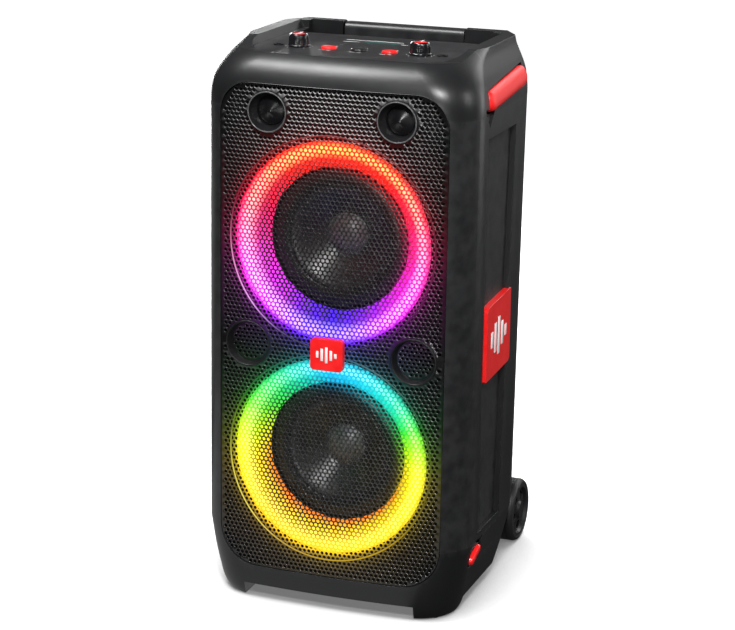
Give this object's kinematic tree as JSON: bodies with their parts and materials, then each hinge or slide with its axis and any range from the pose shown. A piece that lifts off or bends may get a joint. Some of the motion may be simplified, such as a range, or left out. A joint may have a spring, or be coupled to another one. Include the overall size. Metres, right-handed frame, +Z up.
{
  "type": "party speaker",
  "caption": "Tall portable speaker with woofers in light rings behind a bowed grille, tweeters, bass ports, top controls, telescopic handle and wheels.",
  "frame": {"origin": "on the floor under the middle of the bounding box", "axes": "+Z up, +Y from the grille towards the back, +X to the right seen from the front"},
  "size_m": [0.343, 0.362, 0.6744],
  "materials": {
    "shell_plastic": "satin moulded grain",
    "panel_plastic": "matt",
    "textured_plastic": "coarse grain",
    "red_plastic": "satin",
    "red_gloss": "gloss",
    "black_gloss": "gloss",
    "grille_steel": "semi-gloss black",
    "light_guide": "frosted, lit",
    "circuit_board": "solder mask",
    "baffle_plastic": "matt",
    "basket_steel": "powder coat",
    "cone_pulp": "matt coated cone",
    "surround_rubber": "matt",
    "spider_cloth": "woven",
    "coil_former": "brushed",
    "magnet_iron": "zinc plated",
    "tube_aluminium": "black anodised",
    "rubber": "matt",
    "tyre_rubber": "matt",
    "steel": "brushed",
    "black_steel": "black zinc",
    "display_glass": "dark window",
    "battery_wrap": "satin",
    "chrome": "polished"
  },
  "bodies": {
    "cabinet": {"bottom_cap": "shell_plastic", "right_pillar": "shell_plastic", "left_pillar": "shell_plastic", "top_bezel": "shell_plastic", "top_shell": "shell_plastic", "right_side_panel": "shell_plastic", "left_side_panel": "shell_plastic", "side_insets": "textured_plastic", "rear_cabinet": "shell_plastic", "lower_bumpers": "red_plastic", "top_bumpers": "red_plastic", "side_badges": "red_gloss", "front_badge": "red_gloss", "foot_pads": "rubber", "grille": "grille_steel", "front_baffle": "baffle_plastic", "upper_light_ring": "light_guide", "lower_light_ring": "light_guide", "led_boards": "circuit_board", "upper_basket": "basket_steel", "lower_basket": "basket_steel", "upper_surround": "surround_rubber", "lower_surround": "surround_rubber", "upper_spider": "spider_cloth", "lower_spider": "spider_cloth", "upper_magnet": "magnet_iron", "lower_magnet": "magnet_iron", "tweeter_waveguides": "black_gloss", "tweeter_drivers": "basket_steel", "bass_ports": "baffle_plastic", "port_meshes": "grille_steel", "display_window": "display_glass", "input_jacks": "black_steel", "control_panel": "panel_plastic", "handle_sleeves": "tube_aluminium", "wheel_axle": "steel", "mains_inlet": "black_gloss", "io_panel": "panel_plastic", "battery_door": "shell_plastic", "battery_pack": "battery_wrap", "amplifier_board": "circuit_board", "screws": "black_steel"},
    "handle_stage_1": {"handle_outer_tubes": "tube_aluminium"},
    "handle_stage_2": {"handle_inner_tubes": "tube_aluminium", "handle_grip": "shell_plastic"},
    "release_button": {"release_button": "red_plastic"},
    "left_wheel": {"left_hub": "panel_plastic", "left_tyre": "tyre_rubber"},
    "right_wheel": {"right_hub": "panel_plastic", "right_tyre": "tyre_rubber"},
    "left_knob": {"left_knob": "black_gloss"},
    "right_knob": {"right_knob": "black_gloss"},
    "left_button": {"left_button": "red_gloss"},
    "middle_button": {"middle_button": "black_gloss"},
    "right_button": {"right_button": "red_gloss"},
    "upper_cone": {"upper_cone": "cone_pulp", "upper_voice_coil": "coil_former"},
    "lower_cone": {"lower_cone": "cone_pulp", "lower_voice_coil": "coil_former"},
    "io_cover": {"io_cover": "rubber"}
  },
  "joints": [
    {"name": "handle_stage_1_slide", "type": "slide", "parent": "cabinet", "child": "handle_stage_1", "axis": [0, 0, 1], "range_m": [0, 0.25]},
    {"name": "handle_stage_2_slide", "type": "slide", "parent": "handle_stage_1", "child": "handle_stage_2", "axis": [0, 0, 1], "range_m": [0, 0.25]},
    {"name": "release_button_press", "type": "slide", "parent": "handle_stage_2", "child": "release_button", "axis": [0, 0, 1], "range_m": [0, 0.003], "stiffness_N_per_m": 900, "springref_m": -0.001},
    {"name": "left_wheel_spin", "type": "hinge", "parent": "cabinet", "child": "left_wheel", "pos_m": [-0.1318, 0.1405, 0.0405], "axis": [1, 0, 0], "continuous": true},
    {"name": "right_wheel_spin", "type": "hinge", "parent": "cabinet", "child": "right_wheel", "pos_m": [0.1318, 0.1405, 0.0405], "axis": [1, 0, 0], "continuous": true},
    {"name": "left_knob_turn", "type": "hinge", "parent": "cabinet", "child": "left_knob", "pos_m": [-0.0746, -0.0854, 0.6594], "axis": [0, 0, -1], "range_deg": [-150, 150]},
    {"name": "right_knob_turn", "type": "hinge", "parent": "cabinet", "child": "right_knob", "pos_m": [0.0746, -0.0854, 0.6594], "axis": [0, 0, -1], "range_deg": [-150, 150]},
    {"name": "left_button_press", "type": "slide", "parent": "cabinet", "child": "left_button", "axis": [0, 0, -1], "range_m": [0, 0.0012], "stiffness_N_per_m": 900, "springref_m": -0.0008},
    {"name": "middle_button_press", "type": "slide", "parent": "cabinet", "child": "middle_button", "axis": [0, 0, -1], "range_m": [0, 0.0012], "stiffness_N_per_m": 900, "springref_m": -0.0008},
    {"name": "right_button_press", "type": "slide", "parent": "cabinet", "child": "right_button", "axis": [0, 0, -1], "range_m": [0, 0.0012], "stiffness_N_per_m": 900, "springref_m": -0.0008},
    {"name": "upper_cone_travel", "type": "slide", "parent": "cabinet", "child": "upper_cone", "axis": [0, 1, 0], "range_m": [-0.004, 0.004], "stiffness_N_per_m": 2500, "deforming": ["upper_surround", "upper_spider"]},
    {"name": "lower_cone_travel", "type": "slide", "parent": "cabinet", "child": "lower_cone", "axis": [0, 1, 0], "range_m": [-0.004, 0.004], "stiffness_N_per_m": 2500, "deforming": ["lower_surround", "lower_spider"]},
    {"name": "io_cover_hinge", "type": "hinge", "parent": "cabinet", "child": "io_cover", "pos_m": [-0.0614, 0.1355, 0.218], "axis": [0, 0, 1], "range_deg": [0, 120]}
  ]
}
